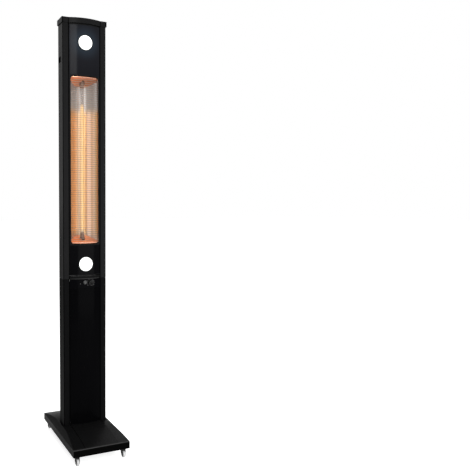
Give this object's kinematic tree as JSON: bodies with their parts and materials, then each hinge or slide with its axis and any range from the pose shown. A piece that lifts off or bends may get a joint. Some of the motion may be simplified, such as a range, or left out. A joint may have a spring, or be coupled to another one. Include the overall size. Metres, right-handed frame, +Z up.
{
  "type": "infrared patio heater tower",
  "caption": "Free-standing infrared heater tower: long radiant head with round lights tilts in a tall frame that turns on a short column over a weighted foot on castors.",
  "frame": {"origin": "on the floor under the centre of the foot", "axes": "+Z up, front with the controls towards -Y, +X to the right seen from the front"},
  "size_m": [0.248, 0.46, 1.86],
  "materials": {
    "satin_black": "satin powder coat, fine grain",
    "panel_black": "semi-gloss black lacquer",
    "fascia_black": "gloss black",
    "black_plastic": "matt moulded",
    "dark_iron": "rough, dark",
    "steel": "brushed",
    "guard_wire": "bright wire",
    "polished_aluminium": "polished",
    "wheel_grey": "grey tread",
    "ceramic_white": "unglazed",
    "lamp_glass": "amber quartz glass, glowing",
    "lamp_glow": "glowing element",
    "lens_white": "opal, lit",
    "board_green": "circuit board",
    "bronze": "sintered bronze"
  },
  "bodies": {
    "base": {"base_cover": "satin_black", "column_rail_left": "satin_black", "column_rail_right": "satin_black", "column_rear_panel": "satin_black", "column_front_panel": "panel_black", "control_fascia": "fascia_black", "mains_gland": "black_plastic", "ballast_block": "dark_iron", "base_plate": "dark_iron", "column_foot": "steel", "column_top_plate": "steel", "power_driver": "steel", "status_lens": "lens_white", "control_board": "board_green", "swivel_bearing": "bronze"},
    "frame": {"foot_bar": "satin_black", "top_crossbar": "dark_iron", "top_cap": "satin_black", "post_left": "satin_black", "post_right": "satin_black", "pivot_cover_left": "black_plastic", "pivot_cover_right": "black_plastic", "pivot_bush_left": "bronze", "pivot_bush_right": "bronze", "swivel_spindle": "steel", "spindle_collar": "steel"},
    "head": {"head_rear_shell": "satin_black", "head_end_cap_top": "satin_black", "head_end_cap_bottom": "satin_black", "window_frame": "satin_black", "head_front_upper": "panel_black", "head_front_lower": "panel_black", "led_housing_upper": "black_plastic", "led_housing_lower": "black_plastic", "pivot_shaft_left": "steel", "pivot_shaft_right": "steel", "guard_grille": "guard_wire", "reflector": "polished_aluminium", "reflector_end_top": "polished_aluminium", "reflector_end_bottom": "polished_aluminium", "lamp_end_top": "ceramic_white", "lamp_end_bottom": "ceramic_white", "lamp_tube": "lamp_glass", "lamp_filament": "lamp_glow", "led_lens_upper": "lens_white", "led_lens_lower": "lens_white"},
    "knob": {"rotary_knob": "black_plastic"},
    "button": {"light_button": "steel"},
    "castor_front_left": {"castor_fork_front_left": "black_plastic", "castor_axle_front_left": "steel"},
    "wheel_front_left": {"castor_wheel_front_left": "wheel_grey"},
    "castor_front_right": {"castor_fork_front_right": "black_plastic", "castor_axle_front_right": "steel"},
    "wheel_front_right": {"castor_wheel_front_right": "wheel_grey"},
    "castor_rear_left": {"castor_fork_rear_left": "black_plastic", "castor_axle_rear_left": "steel"},
    "wheel_rear_left": {"castor_wheel_rear_left": "wheel_grey"},
    "castor_rear_right": {"castor_fork_rear_right": "black_plastic", "castor_axle_rear_right": "steel"},
    "wheel_rear_right": {"castor_wheel_rear_right": "wheel_grey"}
  },
  "joints": [
    {"name": "frame_swivel", "type": "hinge", "parent": "base", "child": "frame", "pos_m": [0, 0.018, 0.742], "axis": [0, 0, 1], "range_deg": [0, 180]},
    {"name": "head_tilt", "type": "hinge", "parent": "frame", "child": "head", "pos_m": [0, 0.026, 1.688], "axis": [1, 0, 0], "range_deg": [0, 106]},
    {"name": "knob_turn", "type": "hinge", "parent": "base", "child": "knob", "pos_m": [0.023, -0.029, 0.7225], "axis": [0, -1, 0], "range_deg": [0, 270]},
    {"name": "button_press", "type": "slide", "parent": "base", "child": "button", "axis": [0, 1, 0], "range_m": [0, 0.0022], "stiffness_N_per_m": 400},
    {"name": "castor_turn_front_left", "type": "hinge", "parent": "base", "child": "castor_front_left", "pos_m": [-0.102, -0.205, 0.041], "axis": [0, 0, 1], "continuous": true},
    {"name": "wheel_roll_front_left", "type": "hinge", "parent": "castor_front_left", "child": "wheel_front_left", "pos_m": [-0.102, -0.213, 0.014], "axis": [1, 0, 0], "continuous": true},
    {"name": "castor_turn_front_right", "type": "hinge", "parent": "base", "child": "castor_front_right", "pos_m": [0.102, -0.205, 0.041], "axis": [0, 0, 1], "continuous": true},
    {"name": "wheel_roll_front_right", "type": "hinge", "parent": "castor_front_right", "child": "wheel_front_right", "pos_m": [0.102, -0.213, 0.014], "axis": [1, 0, 0], "continuous": true},
    {"name": "castor_turn_rear_left", "type": "hinge", "parent": "base", "child": "castor_rear_left", "pos_m": [-0.102, 0.205, 0.041], "axis": [0, 0, 1], "continuous": true},
    {"name": "wheel_roll_rear_left", "type": "hinge", "parent": "castor_rear_left", "child": "wheel_rear_left", "pos_m": [-0.102, 0.213, 0.014], "axis": [1, 0, 0], "continuous": true},
    {"name": "castor_turn_rear_right", "type": "hinge", "parent": "base", "child": "castor_rear_right", "pos_m": [0.102, 0.205, 0.041], "axis": [0, 0, 1], "continuous": true},
    {"name": "wheel_roll_rear_right", "type": "hinge", "parent": "castor_rear_right", "child": "wheel_rear_right", "pos_m": [0.102, 0.213, 0.014], "axis": [1, 0, 0], "continuous": true}
  ]
}
